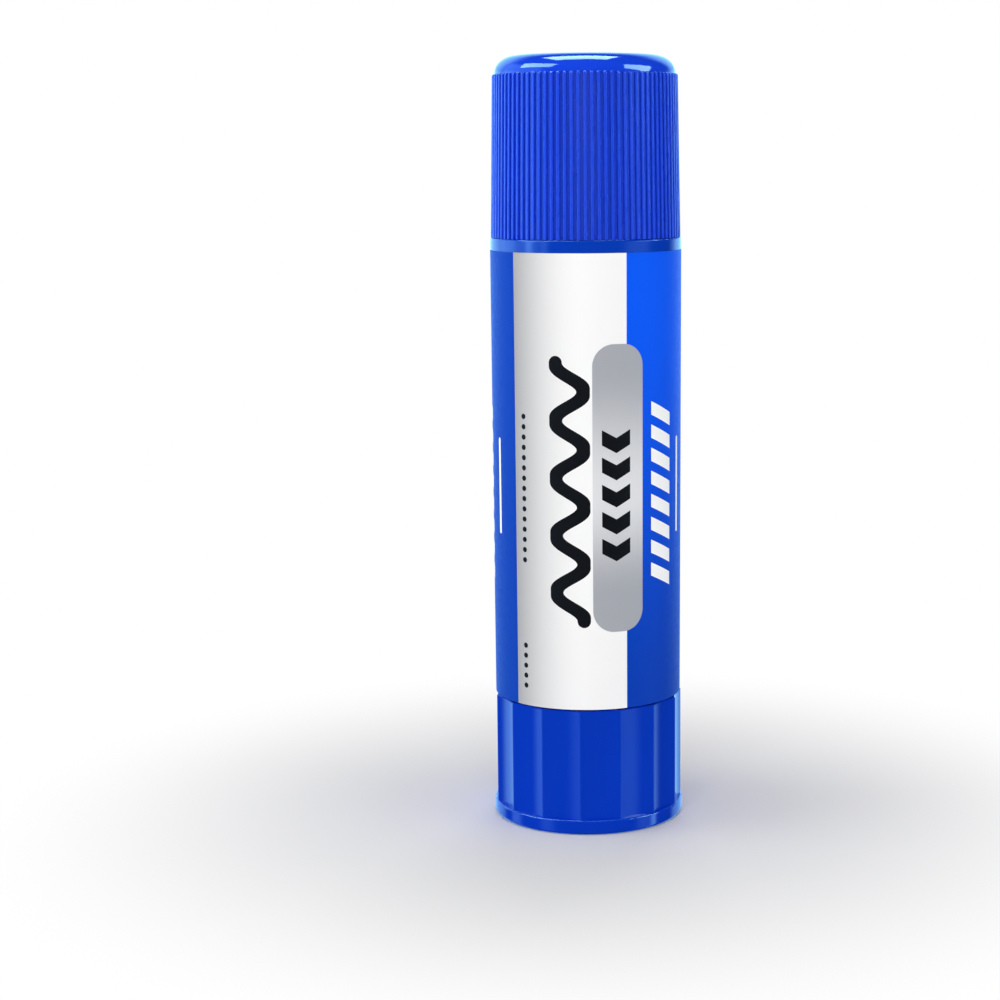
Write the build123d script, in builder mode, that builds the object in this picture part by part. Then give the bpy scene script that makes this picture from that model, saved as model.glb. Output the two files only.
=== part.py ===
from build123d import *
import os
from math import cos, degrees, pi, sin

# A jumbo twist-up glue stick that stands on its base knob, in millimetres.
# +Z is up along the stick's axis, and the origin is the middle of the underside.
# The front, with the light panel of the label, faces -Y.

# Base knob: the fluted foot that is turned to lift the glue
knob_height = 19.9
knob_wall = 1.13
knob_rim_height = 2.34
knob_rim_step = 0.12
knob_edge_round = 0.55
knob_rim_round = 0.25
knob_top_chamfer = 0.15
knob_recess_depth = 0.9
knob_recess_border = 2.4
knob_floor = 1.7
flute_count = 15
flute_bow = 0.27
flute_ridge_round = 0.35
flute_phase_degrees = 13.5
stiffener_count = 6
stiffener_thickness = 1.0
stiffener_height = 3.6
socket_wall = 2.4
snap_lip_height = 1.0

# Barrel: the bored tube that holds the glue, with a collar and a neck for the cap
bore_radius = 12.6
barrel_wall = 2.12
barrel_draft = 0.16
body_length = 70.68
collar_height = 1.88
collar_step = 0.1
collar_round = 0.25
neck_wall = 0.75
neck_bead_depth = 0.1
neck_bead_height = 1.6
neck_bead_rise = 3.2
mouth_chamfer = 0.35
web_thickness = 1.8
sleeve_inset = 1.6
sleeve_wall = 1.0
sleeve_end_gap = 2.1
snap_groove_depth = 0.45
snap_groove_height = 1.7
snap_groove_drop = 3.2
guide_rib_count = 4
guide_rib_width = 1.2
guide_rib_depth = 0.5
guide_rib_stop = 1.5

# Label: one printed film, wrapped round the barrel and lapped at the back
label_thickness = 0.12
label_margin = 0.05
label_lap_width = 4.0
label_lap_start_degrees = 120

# Spindle: the left-hand screw that turns with the knob
screw_crest_radius = 4.0
screw_depth = 1.1
screw_lead = 5.0
screw_crest_width_share = 0.28
screw_root_width_share = 0.52
screw_runout = 0.2
screw_tip = 1.5
screw_tip_chamfer = 0.7
journal_radius = 4.4
flange_radius = 7.4
flange_thickness = 2.1
root_flats = 5.8

# Packing ring: the soft ring under the spindle's flange
packing_cord = 1.2
packing_radius = 5.85

# Carrier: the lifting cup with its nut and the vanes that grip the glue
carrier_floor = 1.6
cup_height = 9.6
cup_wall = 0.9
nut_wall = 1.7
nut_length = 11.6
vane_count = 4
vane_thickness = 1.0
vane_gap = 1.4
vane_drop = 1.6
lift_stop = 6.2

# Glue
glue_top_round = 0.8
glue_bore_headroom = 0.6

# Cap: the ribbed push-on cap
cap_height = 27.94
cap_wall = 0.98
cap_draft = 0.42
cap_rib_count = 88
cap_rib_depth = 0.34
cap_rib_width_share = 0.52
cap_rib_round_share = 0.36
cap_crown_height = 2.91
cap_crown_bulge = 0.1
cap_crown_spread = 3.2
cap_roof = 1.6
cap_headroom = 6.75
cap_inner_round = 1.5
cap_shoulder_inset = 0.75

# Cap seal: the moulded plug inside the cap that closes the mouth
seal_thickness = 1.1
seal_skirt_height = 4.0
seal_skirt_wall = 1.0

# Clearances
twist_gap = 0.2
sleeve_clearance = 0.2
snap_clearance = 0.2
journal_clearance = 0.1
flange_gap = 0.1
packing_clearance = 0.05
root_clearance = 0.05
root_end_gap = 0.5
screw_clearance = 0.3
carrier_gap = 0.4
carrier_clearance = 0.15
guide_clearance = 0.25
glue_clearance = 0.2
glue_fit_clearance = 0.02
cap_clearance = 0.1
cap_seat_gap = 0.05
seal_gap = 0.1
seal_fit_clearance = 0.02
seal_glue_gap = 0.3
label_glue_gap = 0.02

# Levels up the stick
floor_top = knob_recess_depth + knob_floor
stiffener_top = floor_top + stiffener_height
root_bottom = stiffener_top + root_end_gap
sleeve_bottom = stiffener_top + sleeve_end_gap
body_bottom = knob_height + twist_gap
groove_top = body_bottom - snap_groove_drop
groove_bottom = groove_top - snap_groove_height
web_top = body_bottom + web_thickness
flange_bottom = web_top + flange_gap
flange_top = flange_bottom + flange_thickness
carrier_bottom = flange_top + carrier_gap
cup_floor = carrier_bottom + carrier_floor
cup_top = carrier_bottom + cup_height
nut_top = carrier_bottom + nut_length
collar_bottom = body_bottom + body_length
collar_top = collar_bottom + collar_height
cap_bottom = collar_top + cap_seat_gap
cap_top = cap_bottom + cap_height
rib_top = cap_top - cap_crown_height
roof_underside = cap_top - cap_roof
mouth = roof_underside - cap_headroom
seal_bottom = mouth + seal_gap
seal_top = seal_bottom + seal_thickness
glue_top = seal_bottom - seal_glue_gap
carrier_travel = mouth - lift_stop - cup_top
screw_top = carrier_bottom + carrier_travel + cup_height
spindle_tip = screw_top + screw_tip
guide_rib_top = mouth - guide_rib_stop

# Radii out from the axis
body_bottom_radius = bore_radius + barrel_wall
body_top_radius = body_bottom_radius + barrel_draft
collar_radius = body_top_radius + collar_step
neck_radius = bore_radius + neck_wall
sleeve_radius = body_bottom_radius - sleeve_inset
groove_radius = sleeve_radius - snap_groove_depth
guide_rib_radius = bore_radius - guide_rib_depth
knob_bore_radius = sleeve_radius + sleeve_clearance
flute_bottom_radius = knob_bore_radius + knob_wall
knob_crest_radius = (flute_bottom_radius + flute_bow) / cos(pi / flute_count)
knob_rim_radius = knob_crest_radius + knob_rim_step
socket_radius = root_flats / 2 / cos(pi / 6) + socket_wall
screw_root_radius = screw_crest_radius - screw_depth
nut_bore_radius = screw_crest_radius + screw_clearance
nut_radius = nut_bore_radius + nut_wall
carrier_radius = bore_radius - carrier_clearance
cup_radius = carrier_radius - cup_wall
glue_radius = bore_radius - glue_clearance
cap_bore_radius = neck_radius + neck_bead_depth + cap_clearance
cap_root_radius = cap_bore_radius + cap_wall
cap_crown_radius = cap_root_radius - cap_draft
cap_inner_radius = cap_bore_radius - cap_shoulder_inset

# Screw thread: the widths of its ridge and of the nut's ridge that runs between its turns
screw_crest_width = screw_lead * screw_crest_width_share
screw_root_width = screw_lead * screw_root_width_share
screw_flank_slope = (screw_root_width - screw_crest_width) / screw_depth
screw_start = flange_top + screw_root_width / 2 + screw_runout
nut_ridge_radius = screw_root_radius + screw_clearance
nut_ridge_start = screw_start + screw_lead / 2


def nut_ridge_width(radius):
    """The width of the nut's ridge at a radius, with clearance on both flanks."""
    screw_width = screw_crest_width + (screw_crest_radius - radius) * screw_flank_slope
    return screw_lead - screw_width - 2 * screw_clearance


def helical_ridge(inner, outer, inner_width, outer_width, bottom, height):
    """A left-hand ridge from the inner to the outer radius, winding up through height."""
    middle = (inner + outer) / 2
    with BuildPart() as ridge:
        with BuildLine(Plane.XY.offset(bottom)) as path:
            Helix(screw_lead, height, middle, lefthand=True)
        section_plane = Plane(origin=path.line @ 0, x_dir=(1, 0, 0), z_dir=path.line % 0)
        with BuildSketch(section_plane):
            with BuildLine():
                Polyline(
                    (inner - middle, -inner_width / 2),
                    (outer - middle, -outer_width / 2),
                    (outer - middle, outer_width / 2),
                    (inner - middle, inner_width / 2),
                    close=True,
                )
            make_face()
        sweep(path=path.line, is_frenet=True)
    return ridge.part


# Barrel
with BuildPart() as barrel:
    bead_bottom = collar_top + neck_bead_rise
    web_hole_radius = journal_radius + journal_clearance
    sleeve_bore_radius = sleeve_radius - sleeve_wall
    with BuildSketch(Plane.XZ):
        with BuildLine():
            Polyline(
                (collar_radius, collar_top - collar_round),
                (collar_radius, collar_bottom),
                (body_top_radius, collar_bottom),
                (body_bottom_radius, body_bottom),
                (sleeve_radius, body_bottom),
                (sleeve_radius, groove_top),
                (groove_radius, groove_top),
                (groove_radius, groove_bottom),
                (sleeve_radius, groove_bottom),
                (sleeve_radius, sleeve_bottom),
                (sleeve_bore_radius, sleeve_bottom),
                (sleeve_bore_radius, body_bottom),
                (web_hole_radius, body_bottom),
                (web_hole_radius, web_top),
                (bore_radius, web_top),
                (bore_radius, mouth),
                (neck_radius - mouth_chamfer, mouth),
                (neck_radius, mouth - mouth_chamfer),
                (neck_radius, bead_bottom + neck_bead_height),
                (neck_radius + neck_bead_depth, bead_bottom + neck_bead_height / 2),
                (neck_radius, bead_bottom),
                (neck_radius, collar_top),
                (collar_radius - collar_round, collar_top),
            )
            RadiusArc(
                (collar_radius - collar_round, collar_top),
                (collar_radius, collar_top - collar_round),
                collar_round,
            )
        make_face()
    revolve(axis=Axis.Z)
    with BuildSketch(Plane.XY.offset(web_top)):
        with PolarLocations(guide_rib_radius, guide_rib_count):
            Rectangle(guide_rib_depth + neck_wall / 2, guide_rib_width, align=(Align.MIN, Align.CENTER))
    extrude(amount=guide_rib_top - web_top)

# Label
with BuildPart() as label:
    label_bottom = body_bottom + label_margin
    label_top = collar_bottom - label_margin
    end_step = barrel_draft * label_margin / body_length
    low_radius = body_bottom_radius + end_step + label_glue_gap
    high_radius = body_top_radius - end_step + label_glue_gap
    lap_degrees = degrees(label_lap_width / low_radius)
    with BuildSketch(Plane.XZ):
        with BuildLine():
            Polyline(
                (low_radius, label_bottom),
                (low_radius + label_thickness, label_bottom),
                (high_radius + label_thickness, label_top),
                (high_radius, label_top),
                close=True,
            )
        make_face()
    revolve(axis=Axis.Z)
    with BuildSketch(Plane.XZ.rotated((0, 0, label_lap_start_degrees))):
        with BuildLine():
            Polyline(
                (low_radius + label_thickness / 2, label_bottom),
                (low_radius + label_thickness * 2, label_bottom),
                (high_radius + label_thickness * 2, label_top),
                (high_radius + label_thickness / 2, label_top),
                close=True,
            )
        make_face()
    revolve(axis=Axis.Z, revolution_arc=lap_degrees)

# Base knob
with BuildPart() as base_knob:
    half_chord = knob_crest_radius * sin(pi / flute_count)
    flute_radius = (half_chord**2 + flute_bow**2) / (2 * flute_bow)
    with BuildSketch(Plane.XY.offset(knob_edge_round)) as fluted_outline:
        Circle(knob_crest_radius)
        with PolarLocations(flute_bottom_radius + flute_radius, flute_count, flute_phase_degrees):
            Circle(flute_radius, mode=Mode.SUBTRACT)
        fillet(fluted_outline.vertices(), flute_ridge_round)
    extrude(amount=knob_height - knob_edge_round)
    chamfer(base_knob.faces().sort_by(Axis.Z)[-1].edges(), knob_top_chamfer)
    with BuildSketch(Plane.XZ):
        with BuildLine():
            Polyline(
                (knob_rim_radius - knob_edge_round, 0),
                (0, 0),
                (0, knob_rim_height),
                (knob_rim_radius - knob_rim_round, knob_rim_height),
            )
            RadiusArc(
                (knob_rim_radius - knob_rim_round, knob_rim_height),
                (knob_rim_radius, knob_rim_height - knob_rim_round),
                knob_rim_round,
            )
            Line((knob_rim_radius, knob_rim_height - knob_rim_round), (knob_rim_radius, knob_edge_round))
            RadiusArc(
                (knob_rim_radius, knob_edge_round),
                (knob_rim_radius - knob_edge_round, 0),
                knob_edge_round,
            )
        make_face()
    revolve(axis=Axis.Z)
    with BuildSketch():
        Circle(knob_rim_radius - knob_recess_border)
    extrude(amount=knob_recess_depth, mode=Mode.SUBTRACT)
    with BuildSketch(Plane.XY.offset(floor_top)):
        Circle(knob_bore_radius)
    extrude(amount=knob_height - floor_top, mode=Mode.SUBTRACT)
    with BuildSketch(Plane.XY.offset(floor_top)):
        Circle(socket_radius)
    extrude(amount=knob_height - floor_top)
    with BuildSketch(Plane.XY.offset(floor_top)):
        with PolarLocations(socket_radius - socket_wall / 2, stiffener_count):
            Rectangle(
                knob_bore_radius - socket_radius + (socket_wall + knob_wall) / 2,
                stiffener_thickness,
                align=(Align.MIN, Align.CENTER),
            )
    extrude(amount=stiffener_height)
    with BuildSketch(Plane.XY.offset((groove_bottom + groove_top - snap_lip_height) / 2)):
        Circle(knob_bore_radius + knob_wall / 2)
        Circle(groove_radius + snap_clearance, mode=Mode.SUBTRACT)
    extrude(amount=snap_lip_height)
    with BuildSketch(Plane.XY.offset(stiffener_top)):
        RegularPolygon(root_flats / 2 + root_clearance, 6, major_radius=False)
    extrude(amount=knob_height - stiffener_top, mode=Mode.SUBTRACT)

# Spindle
with BuildPart() as spindle:
    with BuildSketch(Plane.XY.offset(root_bottom)):
        RegularPolygon(root_flats / 2, 6, major_radius=False)
    extrude(amount=knob_height - root_bottom)
    with BuildSketch(Plane.XY.offset(knob_height)):
        Circle(journal_radius)
    extrude(amount=flange_bottom - knob_height)
    with BuildSketch(Plane.XY.offset(flange_bottom)):
        Circle(flange_radius)
    extrude(amount=flange_thickness)
    groove_half_width = packing_cord / 2 + packing_clearance
    with BuildSketch(Plane.XY.offset(flange_bottom)):
        Circle(packing_radius + groove_half_width)
        Circle(packing_radius - groove_half_width, mode=Mode.SUBTRACT)
    extrude(amount=packing_cord + packing_clearance - flange_gap, mode=Mode.SUBTRACT)
    with BuildSketch(Plane.XY.offset(flange_top)):
        Circle(screw_root_radius)
    extrude(amount=spindle_tip - flange_top)
    chamfer(spindle.faces().sort_by(Axis.Z)[-1].edges(), screw_tip_chamfer)
    add(
        helical_ridge(
            screw_root_radius - screw_depth / 2,
            screw_crest_radius,
            screw_root_width + screw_flank_slope * screw_depth / 2,
            screw_crest_width,
            screw_start,
            screw_top - screw_start,
        )
    )

# Packing ring
with BuildPart() as packing_ring:
    with BuildSketch(Plane.XZ):
        with Locations((packing_radius, web_top + packing_clearance + packing_cord / 2)):
            Circle(packing_cord / 2)
    revolve(axis=Axis.Z)

# Carrier
with BuildPart() as carrier:
    with BuildSketch(Plane.XY.offset(carrier_bottom)):
        Circle(carrier_radius)
    extrude(amount=cup_height)
    with BuildSketch(Plane.XY.offset(cup_floor)):
        Circle(cup_radius)
    extrude(amount=cup_top - cup_floor, mode=Mode.SUBTRACT)
    with BuildSketch(Plane.XY.offset(carrier_bottom)):
        Circle(nut_radius)
    extrude(amount=nut_length)
    vane_start = nut_radius - nut_wall / 2
    with BuildSketch(Plane.XY.offset(cup_floor)):
        with PolarLocations(vane_start, vane_count, 180 / vane_count):
            Rectangle(cup_radius - vane_gap - vane_start, vane_thickness, align=(Align.MIN, Align.CENTER))
    extrude(amount=cup_top - vane_drop - cup_floor)
    with BuildSketch(Plane.XY.offset(carrier_bottom)):
        Circle(nut_bore_radius)
        with PolarLocations(guide_rib_radius - guide_clearance, guide_rib_count):
            Rectangle(
                guide_rib_depth + guide_clearance,
                guide_rib_width + guide_clearance * 2,
                align=(Align.MIN, Align.CENTER),
            )
    extrude(amount=nut_length, mode=Mode.SUBTRACT)
    nut_ridge_root = nut_bore_radius + nut_wall / 2
    add(
        helical_ridge(
            nut_ridge_radius,
            nut_ridge_root,
            nut_ridge_width(nut_ridge_radius),
            nut_ridge_width(nut_ridge_root),
            nut_ridge_start,
            nut_top - nut_ridge_start - nut_ridge_width(nut_ridge_root) / 2,
        )
    )

# Glue
with BuildPart() as glue_stick:
    plug_bottom = cup_floor + glue_fit_clearance
    plug_top = cup_top + glue_fit_clearance
    plug_radius = cup_radius - glue_fit_clearance
    nut_hole_radius = nut_radius + glue_fit_clearance
    nut_hole_top = nut_top + glue_fit_clearance
    bore_top = spindle_tip + glue_bore_headroom
    with BuildSketch(Plane.XZ):
        with BuildLine():
            Polyline(
                (glue_radius, glue_top - glue_top_round),
                (glue_radius, plug_top),
                (plug_radius, plug_top),
                (plug_radius, plug_bottom),
                (nut_hole_radius, plug_bottom),
                (nut_hole_radius, nut_hole_top),
                (nut_bore_radius, nut_hole_top),
                (nut_bore_radius, bore_top),
                (0, bore_top),
                (0, glue_top),
                (glue_radius - glue_top_round, glue_top),
            )
            RadiusArc(
                (glue_radius - glue_top_round, glue_top),
                (glue_radius, glue_top - glue_top_round),
                glue_top_round,
            )
        make_face()
    revolve(axis=Axis.Z)
    with BuildSketch(Plane.XY.offset(plug_top)):
        with PolarLocations(guide_rib_radius - guide_clearance, guide_rib_count):
            Rectangle(
                guide_rib_depth + guide_clearance,
                guide_rib_width + guide_clearance * 2,
                align=(Align.MIN, Align.CENTER),
            )
    extrude(amount=glue_top - plug_top, mode=Mode.SUBTRACT)
    with BuildSketch(Plane.XY.offset(plug_bottom)):
        with PolarLocations(vane_start, vane_count, 180 / vane_count):
            Rectangle(
                cup_radius - vane_gap - vane_start + glue_fit_clearance,
                vane_thickness + glue_fit_clearance * 2,
                align=(Align.MIN, Align.CENTER),
            )
    extrude(amount=cup_top - vane_drop - cup_floor, mode=Mode.SUBTRACT)

# One rib of the cap, standing at +X with its upper end rounded over
with BuildPart() as cap_rib:
    rib_width = 2 * pi * cap_crown_radius / cap_rib_count * cap_rib_width_share
    rib_round = rib_width * cap_rib_round_share
    rib_sink = cap_wall / 2
    with BuildSketch(Plane.XZ):
        with BuildLine():
            Polyline(
                (cap_crown_radius, rib_top),
                (cap_crown_radius - rib_sink, rib_top),
                (cap_root_radius - rib_sink, cap_bottom),
                (cap_root_radius + cap_rib_depth, cap_bottom),
                (cap_crown_radius + cap_rib_depth, rib_top - cap_rib_depth),
            )
            RadiusArc(
                (cap_crown_radius + cap_rib_depth, rib_top - cap_rib_depth),
                (cap_crown_radius, rib_top),
                -cap_rib_depth,
            )
        make_face()
    extrude(amount=rib_width / 2, both=True)
    crest = cap_rib.faces().sort_by(Axis.X)[-1]
    fillet(crest.edges().sort_by(SortBy.LENGTH)[-2:], rib_round)

# Cap
with BuildPart() as cap:
    crown_side_radius = cap_crown_radius - cap_crown_spread
    crown_rise = cap_crown_height - cap_crown_bulge
    crown_arc_radius = (crown_side_radius**2 + cap_crown_bulge**2) / (2 * cap_crown_bulge)
    with BuildSketch(Plane.XZ):
        with BuildLine():
            EllipticalCenterArc((crown_side_radius, rib_top), cap_crown_spread, crown_rise, arc_size=90)
            RadiusArc((crown_side_radius, rib_top + crown_rise), (0, cap_top), -crown_arc_radius)
            Polyline(
                (0, cap_top),
                (0, roof_underside),
                (cap_inner_radius - cap_inner_round, roof_underside),
            )
            RadiusArc(
                (cap_inner_radius - cap_inner_round, roof_underside),
                (cap_inner_radius, roof_underside - cap_inner_round),
                cap_inner_round,
            )
            Polyline(
                (cap_inner_radius, roof_underside - cap_inner_round),
                (cap_inner_radius, seal_top),
                (cap_bore_radius, seal_top),
                (cap_bore_radius, cap_bottom),
                (cap_root_radius, cap_bottom),
                (cap_crown_radius, rib_top),
            )
        make_face()
    revolve(axis=Axis.Z)
    with PolarLocations(0, cap_rib_count):
        add(cap_rib.part)

# Cap seal
with BuildPart() as cap_seal:
    skirt_radius = cap_inner_radius - seal_fit_clearance
    with BuildSketch(Plane.XY.offset(seal_bottom)):
        Circle(cap_bore_radius - seal_fit_clearance)
    extrude(amount=seal_thickness)
    with BuildSketch(Plane.XY.offset(seal_top)):
        Circle(skirt_radius)
        Circle(skirt_radius - seal_skirt_wall, mode=Mode.SUBTRACT)
    extrude(amount=seal_skirt_height)

os.makedirs("parts", exist_ok=True)
barrel.part.label = "barrel"
export_step(barrel.part, "parts/barrel.step")
label.part.label = "label"
export_step(label.part, "parts/label.step")
base_knob.part.label = "base_knob"
export_step(base_knob.part, "parts/base_knob.step")
spindle.part.label = "spindle"
export_step(spindle.part, "parts/spindle.step")
packing_ring.part.label = "packing_ring"
export_step(packing_ring.part, "parts/packing_ring.step")
carrier.part.label = "carrier"
export_step(carrier.part, "parts/carrier.step")
glue_stick.part.label = "glue_stick"
export_step(glue_stick.part, "parts/glue_stick.step")
cap.part.label = "cap"
export_step(cap.part, "parts/cap.step")
cap_seal.part.label = "cap_seal"
export_step(cap_seal.part, "parts/cap_seal.step")

print("carrier travel", round(carrier_travel, 3), "total height", round(cap_top, 3))
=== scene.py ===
"""A stick of glue in a twist-up tube: its finishes, camera and light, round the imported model."""

import math

import bpy
from mathutils import Matrix, Vector


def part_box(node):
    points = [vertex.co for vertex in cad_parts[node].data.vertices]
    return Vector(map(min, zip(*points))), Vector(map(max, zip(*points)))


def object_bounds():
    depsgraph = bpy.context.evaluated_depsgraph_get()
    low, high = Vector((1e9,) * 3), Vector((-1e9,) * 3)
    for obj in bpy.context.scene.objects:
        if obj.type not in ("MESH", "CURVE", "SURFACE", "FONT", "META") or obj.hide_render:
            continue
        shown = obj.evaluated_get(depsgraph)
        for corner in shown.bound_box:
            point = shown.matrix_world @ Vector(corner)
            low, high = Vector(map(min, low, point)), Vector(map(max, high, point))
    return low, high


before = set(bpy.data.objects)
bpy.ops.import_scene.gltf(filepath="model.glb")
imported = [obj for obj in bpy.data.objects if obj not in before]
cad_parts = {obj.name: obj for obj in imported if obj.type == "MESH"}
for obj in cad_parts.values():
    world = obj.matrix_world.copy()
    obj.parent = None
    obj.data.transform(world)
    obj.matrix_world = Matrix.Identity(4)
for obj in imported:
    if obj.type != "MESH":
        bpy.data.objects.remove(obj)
packed_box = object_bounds()

# Camera
# It stands in front of the stick, near the height of the cap, and looks a little down.
# The shift puts the stick to the right of the middle of the picture.
camera_distance = 0.3427
camera_height = 0.1047
camera_dip = math.radians(8.93)
camera_lean = math.radians(-0.3)
camera = bpy.data.objects.new("camera", bpy.data.cameras.new("camera"))
camera.data.sensor_width = 36
camera.data.lens = 78.06
camera.data.shift_x = -0.087
camera.data.clip_start = 0.01
camera.matrix_world = (
    Matrix.Translation((0, -camera_distance, camera_height))
    @ Matrix.Rotation(math.pi / 2 - camera_dip, 4, "X")
    @ Matrix.Rotation(camera_lean, 4, "Z")
)
bpy.context.scene.collection.objects.link(camera)
bpy.context.scene.camera = camera
bpy.context.scene.view_settings.view_transform = "Standard"

# Turning foot
# The fluted foot is one glossy injection moulding in blue polypropylene, with a plain rim.
# It snaps over the barrel's sleeve from below, and its socket grips the root of the screw.
foot_blue = (3, 54, 186)
foot_gloss = 0.10
mould_gleam = (230, 249, 255)


def tint(red, green, blue):
    """The light that a colour on the screen's scale of 0 to 255 stands for."""
    shares = [step / 255 for step in (red, green, blue)]
    return [s / 12.92 if s <= 0.04045 else ((s + 0.055) / 1.055) ** 2.4 for s in shares] + [1]


def toned(colour, share):
    """A colour that gives back that share of the light of the one named."""
    return [share * part for part in tint(*colour)[:3]] + [1]


def put(tree, kind, sockets, **settings):
    """Adds one shading step. Sockets, by name or number, take a value or another step's result."""
    step = tree.nodes.new(kind)
    for name, value in settings.items():
        setattr(step, name, value)
    for place, value in sockets.items():
        if isinstance(value, bpy.types.NodeSocket):
            tree.links.new(value, step.inputs[place])
        else:
            step.inputs[place].default_value = value
    return step


def calc(tree, operation, *terms):
    return put(tree, "ShaderNodeMath", dict(enumerate(terms)), operation=operation).outputs[0]


def ease(tree, value, start, end, low, high):
    """Low up to start, high from end on, and a smooth climb between them."""
    sockets = {"Value": value, "From Min": start, "From Max": end, "To Min": low, "To Max": high}
    return put(tree, "ShaderNodeMapRange", sockets, interpolation_type="SMOOTHSTEP").outputs[0]


def grain(tree, place, size, depth=2.0):
    """Cloudy variation between 0 and 1, whose marks are about that many metres across."""
    sockets = {"Vector": place, "Scale": 1 / size, "Detail": depth}
    return put(tree, "ShaderNodeTexNoise", sockets).outputs["Fac"]


def stretched(tree, place, scale):
    return put(tree, "ShaderNodeMapping", {"Vector": place, "Scale": scale}).outputs[0]


def mottled(tree, pattern, first, second):
    """Goes from the first colour to the second with a pattern of 0 to 1."""
    step = put(tree, "ShaderNodeMix", {"Factor": pattern}, data_type="RGBA")
    for place, colour in ((6, first), (7, second)):
        if isinstance(colour, bpy.types.NodeSocket):
            tree.links.new(colour, step.inputs[place])
        else:
            step.inputs[place].default_value = colour
    return step.outputs[2]


def new_finish(name):
    finish = bpy.data.materials.new(name)
    finish.use_nodes = True
    tree = finish.node_tree
    place = put(tree, "ShaderNodeTexCoord", {}).outputs["Object"]
    return finish, tree, tree.nodes["Principled BSDF"], place


def relief(tree, heights):
    """Chains bumps, each a pattern of 0 to 1 and its height in metres."""
    normal = None
    for pattern, height in heights:
        sockets = {"Height": pattern, "Distance": height}
        if normal is not None:
            sockets["Normal"] = normal
        normal = put(tree, "ShaderNodeBump", sockets).outputs["Normal"]
    return normal


def coloured_plastic(name, colour, gloss, satin=None, satin_below=0.0, satin_above=0.0):
    """Blue polypropylene from a polished mould, and satin between two heights where that is asked for."""
    finish, tree, plastic, place = new_finish(name)
    cloud = mottled(tree, grain(tree, place, 0.022), toned(colour, 0.90), toned(colour, 1.10))
    tree.links.new(cloud, plastic.inputs["Base Color"])
    scuffs = grain(tree, stretched(tree, place, (1, 1, 0.08)), 0.0007, 4.0)
    rough = ease(tree, scuffs, 0.42, 0.75, gloss, gloss + 0.04)
    if satin is not None:
        soft_edge = 0.0004
        height = put(tree, "ShaderNodeSeparateXYZ", {0: place}).outputs["Z"]
        over_foot = ease(tree, height, satin_below, satin_below + soft_edge, 0, 1)
        under_top = ease(tree, height, satin_above - soft_edge, satin_above, 1, 0)
        wall = calc(tree, "MULTIPLY", over_foot, under_top)
        rough = calc(tree, "ADD", rough, calc(tree, "MULTIPLY", wall, satin - gloss))
    tree.links.new(rough, plastic.inputs["Roughness"])
    skin = [(grain(tree, place, 0.012, 1.0), 0.000012), (grain(tree, place, 0.0012, 3.0), 0.000001)]
    tree.links.new(relief(tree, skin), plastic.inputs["Normal"])
    plastic.inputs["IOR"].default_value = 1.5
    plastic.inputs["Specular Tint"].default_value = tint(*mould_gleam)
    return finish


def dress(node, finish):
    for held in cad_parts[node].material_slots:
        held.material = finish


dress("base_knob", coloured_plastic("foot_plastic", foot_blue, foot_gloss))

# Barrel
# The tube is moulded in the same glossy blue polypropylene as the foot, bore and neck in one.
# The glossy collar shows between the label and the cap, and the neck shows when the cap is off.
barrel_blue = (2, 57, 180)
barrel_gloss = 0.12
dress("barrel", coloured_plastic("barrel_plastic", barrel_blue, barrel_gloss))

# Label
# One printed film is wrapped round the barrel and lapped at the back, where it is glued down.
# Blue panels stand beside a white one. A silver bar lies over their border, with plain marks.
label_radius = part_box("label")[1].x
mm = 0.001
degree = math.radians(1)
film_white = (246, 246, 246)
# The grey that the painted shade on the white panel runs to at its left edge.
painted_shade_white = (132, 133, 136)
silver_grey = (166, 169, 176)
# The lighter grey of the painted sheen across the middle of the silver bar.
painted_silver_sheen = (222, 223, 226)
dark_ink = (18, 20, 24)
white_ink = (248, 249, 250)

film, film_tree, film_skin, film_place = new_finish("label_film")


def work(operation, *terms):
    return calc(film_tree, operation, *terms)


def both(*masks):
    joined = masks[0]
    for mask in masks[1:]:
        joined = work("MULTIPLY", joined, mask)
    return joined


film_xyz = put(film_tree, "ShaderNodeSeparateXYZ", {0: film_place}).outputs
toward_front = work("MULTIPLY", film_xyz["Y"], -1)
turn = work("ARCTAN2", film_xyz["X"], toward_front)
across = work("MULTIPLY", turn, label_radius / mm)
up = work("DIVIDE", film_xyz["Z"], mm)


def at_turn(degrees):
    """The distance across the label, from its front line, of a place that many degrees round."""
    return degrees * degree * label_radius / mm


def span(value, low, high):
    """1 between two values and 0 outside them."""
    return both(work("GREATER_THAN", value, low), work("LESS_THAN", value, high))


def reach_of(tree, along, beside):
    """How far off a place is that lies that far along and that far to the side."""
    squares = [calc(tree, "MULTIPLY", way, way) for way in (along, beside)]
    return calc(tree, "SQRT", calc(tree, "ADD", *squares))


def past(value, middle, half):
    """How far a value lies beyond the half width round a middle, and 0 within it."""
    away = work("ABSOLUTE", work("SUBTRACT", value, middle))
    return work("MAXIMUM", work("SUBTRACT", away, half), 0)


def round_bar(middle, foot, top, width, corner):
    """An upright bar with rounded corners."""
    half_height = (top - foot) / 2
    side = past(across, middle, width / 2 - corner)
    rise = past(up, foot + half_height, half_height - corner)
    return work("LESS_THAN", reach_of(film_tree, side, rise), corner)


def dot(middle, height, radius):
    side, rise = work("SUBTRACT", across, middle), work("SUBTRACT", up, height)
    return work("LESS_THAN", reach_of(film_tree, side, rise), radius)


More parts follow.
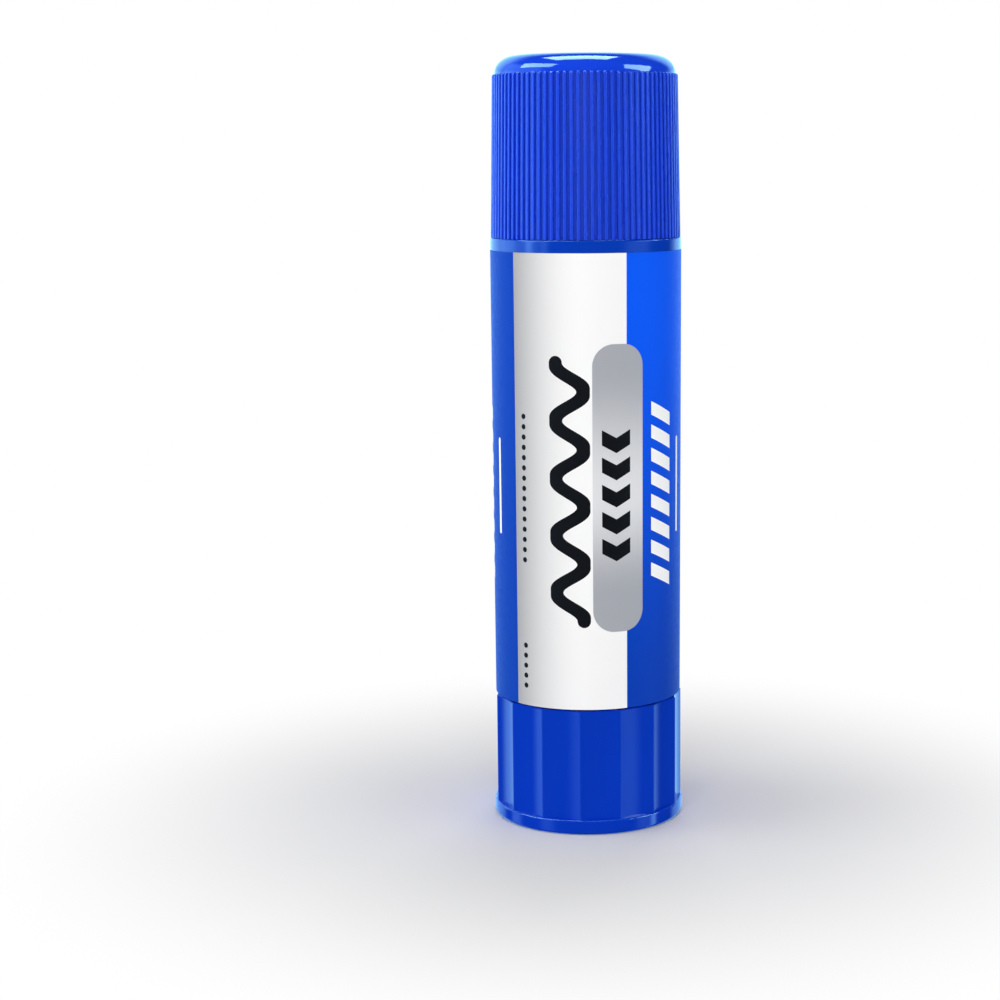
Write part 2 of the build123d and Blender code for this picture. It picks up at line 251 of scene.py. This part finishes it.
def wave(middle, foot, top, swing, waves, thickness):
    """A bold wavy line that climbs the label. Its ends stand upright, at a crest, and are round."""
    bend = 2 * math.pi * waves / (top - foot)
    phase = work("MULTIPLY", work("SUBTRACT", up, foot), bend)
    line = work("MULTIPLY", work("COSINE", phase), swing)
    slope = work("MULTIPLY", work("SINE", phase), -swing * bend)
    slant = work("SQRT", work("ADD", work("MULTIPLY", slope, slope), 1))
    offset = work("ABSOLUTE", work("SUBTRACT", work("SUBTRACT", across, middle), line))
    stroke = both(work("LESS_THAN", work("DIVIDE", offset, slant), thickness / 2), span(up, foot, top))
    for end, side in ((foot, swing), (top, swing * math.cos(2 * math.pi * waves))):
        stroke = work("MAXIMUM", stroke, dot(middle + side, end, thickness / 2))
    return stroke


def slanted_bars(middle, foot, top, width, pitch, share, slant, pointed):
    """A column of like bars. They slant one way, or both ways to a point."""
    side = work("SUBTRACT", across, middle)
    lift = work("MULTIPLY", work("ABSOLUTE", side) if pointed else side, slant)
    row = work("DIVIDE", work("SUBTRACT", work("ADD", up, lift), foot), pitch)
    count = round((top - foot) / pitch)
    bars = both(work("LESS_THAN", work("FRACT", row), share), span(row, 0, count))
    return both(bars, span(side, -width / 2, width / 2))


def beads(middle, foot, top, pitch, radius):
    """A column of small round dots."""
    count = round((top - foot) / pitch)
    row = work("DIVIDE", work("SUBTRACT", up, foot), pitch)
    rise = work("MULTIPLY", work("SUBTRACT", work("FRACT", row), 0.5), pitch)
    side = work("SUBTRACT", across, middle)
    return both(work("LESS_THAN", reach_of(film_tree, side, rise), radius), span(row, 0, count))


def printed(mask, under, over):
    """The second colour where the mask is 1, over the first. A colour is a result or a screen colour."""
    colours = [c if isinstance(c, bpy.types.NodeSocket) else tint(*c) for c in (under, over)]
    return mottled(film_tree, mask, *colours)


panel_left, panel_right = at_turn(-47.5), at_turn(24.2)
back_panel = at_turn(150)
# Painted shade: both blue panels are darker towards the bottom, the right one much more than the left.
blue_right = printed(ease(film_tree, up, 18, 84, 0, 1), (0, 60, 176), (0, 88, 244))
blue_left = printed(ease(film_tree, up, 22, 84, 0, 1), (0, 61, 170), (0, 62, 176))
print_colour = printed(work("GREATER_THAN", across, 0), blue_left, blue_right)
white_panel = span(across, panel_left, panel_right)
white_back = work("GREATER_THAN", work("ABSOLUTE", across), back_panel)
# Painted shade: the white panel turns darker grey towards its left edge.
shade = ease(film_tree, across, panel_left - 5, panel_left + 12.5, 0, 1)
print_colour = printed(white_panel, print_colour, printed(shade, painted_shade_white, film_white))
print_colour = printed(white_back, print_colour, film_white)

silver_middle = at_turn(19.2)
silver_bar = round_bar(silver_middle, foot=32.4, top=77.0, width=8.3, corner=3.4)
# Painted sheen: the silver ink is lighter across the bar's middle and greyer towards its ends, in place of a
# metallic shine.
silver_sheen_band = both(ease(film_tree, up, 38, 54, 0, 1), ease(film_tree, up, 54, 74, 1, 0))
print_colour = printed(silver_bar, print_colour, printed(silver_sheen_band, silver_grey, painted_silver_sheen))
black_wave = wave(at_turn(-10.2), foot=34.2, top=74.2, swing=2.15, waves=4.5, thickness=2.1)
print_colour = printed(black_wave, print_colour, dark_ink)
chevrons = slanted_bars(silver_middle - 0.4, foot=43.5, top=64.5, width=4.6, pitch=4.2,
                        share=0.56, slant=-0.55, pointed=True)
print_colour = printed(chevrons, print_colour, dark_ink)
long_row = beads(at_turn(-40.5), foot=42.5, top=66.5, pitch=1.6, radius=0.42)
short_row = beads(at_turn(-40.5), foot=22.5, top=30.5, pitch=1.6, radius=0.42)
print_colour = printed(work("MAXIMUM", long_row, short_row), print_colour, dark_ink)
for middle in (at_turn(50.7), at_turn(-90.5)):
    bars = slanted_bars(middle, foot=39.6, top=68.4, width=4.7, pitch=3.6,
                        share=0.58, slant=0.45, pointed=False)
    print_colour = printed(bars, print_colour, white_ink)
for middle in (at_turn(70.5), at_turn(-65.6)):
    thin_rule = round_bar(middle, foot=46.6, top=61.8, width=0.7, corner=0.3)
    print_colour = printed(thin_rule, print_colour, white_ink)
film_tree.links.new(print_colour, film_skin.inputs["Base Color"])
film_grain = grain(film_tree, film_place, 0.0009, 3.0)
film_rough = ease(film_tree, film_grain, 0.3, 0.7, 0.40, 0.48)
silver_polish = work("MULTIPLY", silver_bar, 0.08)
film_tree.links.new(work("SUBTRACT", film_rough, silver_polish), film_skin.inputs["Roughness"])
film_relief = [(grain(film_tree, film_place, 0.012, 1.0), 0.00002), (film_grain, 0.000001)]
film_tree.links.new(relief(film_tree, film_relief), film_skin.inputs["Normal"])
film_skin.inputs["Specular IOR Level"].default_value = 0.10
dress("label", film)

# Cap
# The push-on cap is a thin moulding in blue polypropylene, a shade lighter than the tube.
# Its ribbed wall is satin from the mould, and its rounded crown is polished. Painted shade darkens the
# grooves between its ribs.
cap_blue = (20, 64, 214)
cap_gloss = 0.04
cap_satin = 0.26
crown_height = 2.91 * mm
wall_foot_radius = 14.53 * mm
wall_top_radius = 14.11 * mm
# How far the painted shade in the grooves between the ribs darkens the blue.
groove_shade = 0.76
groove_floor, rib_flank = 0.02 * mm, 0.24 * mm
rib_end = 0.3 * mm
cap_low, cap_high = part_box("cap")
crown_foot = cap_high.z - crown_height
cap_finish = coloured_plastic("cap_plastic", cap_blue, cap_gloss, cap_satin, cap_low.z - mm, crown_foot)
cap_tree = cap_finish.node_tree
cap_colour = cap_tree.nodes["Principled BSDF"].inputs["Base Color"]
cap_place = put(cap_tree, "ShaderNodeTexCoord", {}).outputs["Object"]
cap_height = put(cap_tree, "ShaderNodeSeparateXYZ", {0: cap_place}).outputs["Z"]
flat_place = stretched(cap_tree, cap_place, (1, 1, 0))
from_axis = put(cap_tree, "ShaderNodeVectorMath", {0: flat_place}, operation="LENGTH").outputs["Value"]
drafted = {
    "Value": cap_height,
    "From Min": cap_low.z,
    "From Max": crown_foot,
    "To Min": wall_foot_radius,
    "To Max": wall_top_radius,
}
wall_face = put(cap_tree, "ShaderNodeMapRange", drafted).outputs[0]
# Painted shade: the colour is darkened in the grooves between the ribs and on the inside of the cap, and left
# clear on the crown above the ribs.
over_wall = calc(cap_tree, "SUBTRACT", from_axis, wall_face)
groove_painted_shade = ease(cap_tree, over_wall, groove_floor, rib_flank, groove_shade, 1)
groove_painted_shade = calc(cap_tree, "MAXIMUM", groove_painted_shade, ease(cap_tree, cap_height, crown_foot - rib_end, crown_foot, 0, 1))
shaded_blue = put(cap_tree, "ShaderNodeMix", {"Factor": 1.0}, data_type="RGBA", blend_type="MULTIPLY")
cap_tree.links.new(cap_colour.links[0].from_socket, shaded_blue.inputs[6])
cap_tree.links.new(groove_painted_shade, shaded_blue.inputs[7])
cap_tree.links.new(shaded_blue.outputs[2], cap_colour)
dress("cap", cap_finish)


# Cap seal
# A soft plug of natural polyethylene is pressed up inside the cap. It closes the mouth of the
# barrel, so that the glue doesn't dry out.
def natural_plastic(name, colour, rough, depth):
    """Uncoloured moulded plastic, which lets a little light in."""
    finish, tree, plastic, place = new_finish(name)
    cloud = mottled(tree, grain(tree, place, 0.006), toned(colour, 0.94), tint(*colour))
    tree.links.new(cloud, plastic.inputs["Base Color"])
    fine = grain(tree, place, 0.0008, 3.0)
    tree.links.new(ease(tree, fine, 0.3, 0.7, rough, rough + 0.08), plastic.inputs["Roughness"])
    skin = [(grain(tree, place, 0.005, 1.0), 0.00001), (fine, 0.0000015)]
    tree.links.new(relief(tree, skin), plastic.inputs["Normal"])
    plastic.inputs["Subsurface Weight"].default_value = 0.35
    plastic.inputs["Subsurface Radius"].default_value = (1.0, 0.8, 0.6)
    plastic.inputs["Subsurface Scale"].default_value = depth
    return finish


dress("cap_seal", natural_plastic("seal_plastic", (236, 238, 236), rough=0.34, depth=0.001))

# Lifting screw and carrier
# Both are moulded in uncoloured polypropylene. The screw turns with the foot, and the cup's nut
# rides up its left-hand thread, with the cup's edge notched for the ribs in the bore.
mechanism_plastic = natural_plastic("mechanism_plastic", (228, 229, 224), rough=0.28, depth=0.0008)
dress("spindle", mechanism_plastic)
dress("carrier", mechanism_plastic)

# Packing ring
# A moulded ring of black rubber, pressed between the screw's flange and the barrel's floor.
# It is dull, with a little pale dust on it.
rubber, rubber_tree, rubber_skin, rubber_place = new_finish("packing_rubber")
rubber_dust = grain(rubber_tree, rubber_place, 0.0006, 4.0)
rubber_cloud = mottled(rubber_tree, rubber_dust, tint(22, 22, 23), tint(44, 44, 46))
rubber_tree.links.new(rubber_cloud, rubber_skin.inputs["Base Color"])
rubber_tree.links.new(ease(rubber_tree, rubber_dust, 0.3, 0.7, 0.55, 0.8), rubber_skin.inputs["Roughness"])
rubber_tree.links.new(relief(rubber_tree, [(rubber_dust, 0.00002)]), rubber_skin.inputs["Normal"])
dress("packing_ring", rubber)

# Glue
# The stick is cast in the cup as a warm paste of starch and soap, which sets to a white wax.
# It is slightly clear and almost dull, with faint lines from the bore along it.
wax, wax_tree, wax_skin, wax_place = new_finish("glue_wax")
wax_cloud = mottled(wax_tree, grain(wax_tree, wax_place, 0.008), tint(232, 230, 219), tint(243, 242, 235))
wax_tree.links.new(wax_cloud, wax_skin.inputs["Base Color"])
wax_lines = grain(wax_tree, stretched(wax_tree, wax_place, (1, 1, 0.04)), 0.0009, 3.0)
wax_pores = grain(wax_tree, wax_place, 0.0005, 3.0)
wax_tree.links.new(ease(wax_tree, wax_lines, 0.3, 0.7, 0.32, 0.5), wax_skin.inputs["Roughness"])
wax_relief = [(wax_lines, 0.00003), (wax_pores, 0.00001), (grain(wax_tree, wax_place, 0.006, 1.0), 0.00006)]
wax_tree.links.new(relief(wax_tree, wax_relief), wax_skin.inputs["Normal"])
wax_skin.inputs["Specular IOR Level"].default_value = 0.03
wax_skin.inputs["Subsurface Weight"].default_value = 0.6
wax_skin.inputs["Subsurface Radius"].default_value = (1.0, 0.9, 0.7)
wax_skin.inputs["Subsurface Scale"].default_value = 0.002
dress("glue_stick", wax)

# Floor
# A pale sweep that the stick stands on. It keeps the shadow near the stick and runs out to the
# white of the backdrop further off. From below it is clear, so that the foot can be seen.
floor_reach = 2.0
floor_sides = 96
plain_floor_to, white_from = 0.022, 0.10
floor_turns = [2 * math.pi * k / floor_sides for k in range(floor_sides)]
floor_rim = [(floor_reach * math.cos(t), floor_reach * math.sin(t), 0) for t in floor_turns]
floor_mesh = bpy.data.meshes.new("floor")
floor_mesh.from_pydata(floor_rim, [], [tuple(range(floor_sides))])
floor = bpy.data.objects.new("floor", floor_mesh)
bpy.context.scene.collection.objects.link(floor)
sweep, sweep_tree, sweep_skin, sweep_place = new_finish("floor_sweep")
sweep_skin.inputs["Base Color"].default_value = tint(220, 220, 220)
sweep_skin.inputs["Roughness"].default_value = 0.9
sweep_skin.inputs["Specular IOR Level"].default_value = 0.0
sweep_xyz = put(sweep_tree, "ShaderNodeSeparateXYZ", {0: sweep_place}).outputs
from_foot = reach_of(sweep_tree, sweep_xyz["X"], sweep_xyz["Y"])
sweep_path = put(sweep_tree, "ShaderNodeLightPath", {}).outputs
fade = ease(sweep_tree, from_foot, plain_floor_to, white_from, 0, 1)
fade = calc(sweep_tree, "MULTIPLY", fade, sweep_path["Is Camera Ray"])
bright = put(sweep_tree, "ShaderNodeEmission", {"Color": (1, 1, 1, 1)}).outputs[0]
from_above = put(sweep_tree, "ShaderNodeMixShader", {0: fade, 1: sweep_skin.outputs[0], 2: bright})
clear = put(sweep_tree, "ShaderNodeBsdfTransparent", {}).outputs[0]
from_below = put(sweep_tree, "ShaderNodeNewGeometry", {}).outputs["Backfacing"]
one_way = put(sweep_tree, "ShaderNodeMixShader", {0: from_below, 1: from_above.outputs[0], 2: clear})
sweep_tree.links.new(one_way.outputs[0], sweep_tree.nodes["Material Output"].inputs["Surface"])
floor_mesh.materials.append(sweep)
floor.visible_glossy = False

# Light
# Soft lamps stand on all sides and one hangs overhead. The gloss sees three bright panes and a
# ring of soft boxes in a dark room, and the camera sees a white backdrop.
ambient = 0.34
dark_room = 0.06
box_hue = (0.28, 0.60, 1, 1)
window_hue = (0.6, 0.94, 1, 1)


def aim(turn_degrees, rise_degrees):
    """The turn that takes the way to the front to one that far round the stick and that far up."""
    return Matrix.Rotation(turn_degrees * degree, 4, "Z") @ Matrix.Rotation(-rise_degrees * degree, 4, "X")


def soft_lamp(name, turn_degrees, rise_degrees, distance, size, level):
    """A square lamp aimed at the stick's middle. Level is the white of a white card that faces it."""
    lamp = bpy.data.lights.new(name, "AREA")
    lamp.shape = "SQUARE"
    lamp.size = size
    lamp.energy = level * math.pi * math.pi * distance * distance
    held = bpy.data.objects.new(name, lamp)
    held.matrix_world = (
        Matrix.Translation((0, 0, packed_box[1].z / 2)) @ aim(turn_degrees, rise_degrees)
        @ Matrix.Translation((0, -distance, 0)) @ Matrix.Rotation(math.pi / 2, 4, "X")
    )
    held.visible_glossy = False
    bpy.context.scene.collection.objects.link(held)


soft_lamp("key_lamp", -6, 24, distance=0.75, size=0.5, level=0.39)
soft_lamp("top_lamp", -20, 78, distance=0.75, size=0.5, level=0.26)
soft_lamp("left_lamp", -82, 12, distance=0.8, size=0.5, level=0.50)
soft_lamp("right_lamp", 62, 10, distance=0.8, size=0.5, level=0.26)
soft_lamp("back_lamp", 172, 22, distance=0.8, size=0.5, level=0.40)

room = bpy.data.worlds.new("room")
room.use_nodes = True
bpy.context.scene.world = room
room.cycles.sampling_method = "NONE"
room_tree = room.node_tree
backdrop = room_tree.nodes["Background"]


def sky(operation, *terms):
    return calc(room_tree, operation, *terms)


way_out = put(room_tree, "ShaderNodeTexCoord", {}).outputs["Generated"]
way_xyz = put(room_tree, "ShaderNodeSeparateXYZ", {0: way_out}).outputs
sky_turn = sky("DIVIDE", sky("ARCTAN2", way_xyz["X"], sky("MULTIPLY", way_xyz["Y"], -1)), degree)
sky_rise = sky("DIVIDE", sky("ARCSINE", way_xyz["Z"]), degree)


def soft_box(middle_turn, half_turn, low, high, blur, level):
    """A lit panel, seen in the gloss only, between two heights in degrees, with blurred edges."""
    aside = sky("ABSOLUTE", sky("WRAP", sky("SUBTRACT", sky_turn, middle_turn), 180, -180))
    lit = ease(room_tree, aside, half_turn - blur, half_turn + blur, 1, 0)
    lit = sky("MULTIPLY", lit, ease(room_tree, sky_rise, low - blur, low + blur, 0, 1))
    lit = sky("MULTIPLY", lit, ease(room_tree, sky_rise, high - blur, high + blur, 1, 0))
    return sky("MULTIPLY", lit, level)


def along(axis):
    """How far the way out goes along an axis."""
    sockets = {0: way_out, 1: tuple(axis)}
    return put(room_tree, "ShaderNodeVectorMath", sockets, operation="DOT_PRODUCT").outputs["Value"]


def window(turn_degrees, rise_degrees, lean_degrees, half_width, half_height, blur, level):
    """A lit pane, seen in the gloss only. Half sizes and blur are for a pane one unit away."""
    facing = aim(turn_degrees, rise_degrees) @ Vector((0, -1, 0))
    level_side = Vector((math.cos(turn_degrees * degree), math.sin(turn_degrees * degree), 0))
    side = Matrix.Rotation(-lean_degrees * degree, 3, facing) @ level_side
    ahead = along(facing)
    lit = sky("MULTIPLY", sky("GREATER_THAN", ahead, 0), level)
    for axis, half in ((side, half_width), (facing.cross(side), half_height)):
        aside = sky("ABSOLUTE", sky("DIVIDE", along(axis), ahead))
        lit = sky("MULTIPLY", lit, ease(room_tree, aside, half - blur, half + blur, 1, 0))
    return lit


def either(choice, off, on):
    """The first value where the choice is 0, and the second where it is 1."""
    return sky("ADD", sky("MULTIPLY", choice, on), sky("MULTIPLY", sky("SUBTRACT", 1, choice), off))


# Each soft box has its middle and half its width round the stick, its low and high edge, its
# blur, all in degrees, and its level.
box_light = dark_room
for box in (
    (-180, 55, -70, 6, 7, 1.5),
    (-176, 46, 5, 40, 11, 2.6),
    (-92, 34, -6, 34, 6, 2.2),
    (-100, 8, -40, -8, 5, 1.8),
    (-176, 50, -6, 6, 4, 1.2),
    (-108, 14, -6, 8, 6, 1.8),
    (-72, 4, -6, 6, 4, 4.8),
    (-51, 4, -6, 6, 4, 2.4),
    (-52, 8, -40, -8, 6, 1.1),
    (72, 9, -40, -8, 6, 1.1),
    (87, 4, -40, -8, 3, 5.0),
    (66, 16, -6, 6, 8, 1.3),
):
    box_light = sky("ADD", soft_box(*box), box_light)

# Each pane has its turn, rise and lean in degrees, half its width and height, blur and level.
window_light = 0
for pane in (
    (-72, 37, -8, 0.40, 0.19, 0.02, 12),
    (75, 23, 24, 0.34, 0.22, 0.02, 12),
    (-165, 80.3, 15, 0.35, 0.26, 0.02, 16),
):
    window_light = sky("ADD", window(*pane), window_light)

gloss_light = sky("ADD", box_light, window_light)
room_path = put(room_tree, "ShaderNodeLightPath", {}).outputs
room_level = either(room_path["Is Glossy Ray"], ambient, gloss_light)
room_level = either(room_path["Is Camera Ray"], room_level, 1)
room_tree.links.new(room_level, backdrop.inputs["Strength"])
gloss_hue = mottled(room_tree, sky("DIVIDE", window_light, gloss_light), box_hue, window_hue)
room_hue = mottled(room_tree, room_path["Is Glossy Ray"], (1, 1, 1, 1), gloss_hue)
room_tree.links.new(room_hue, backdrop.inputs["Color"])
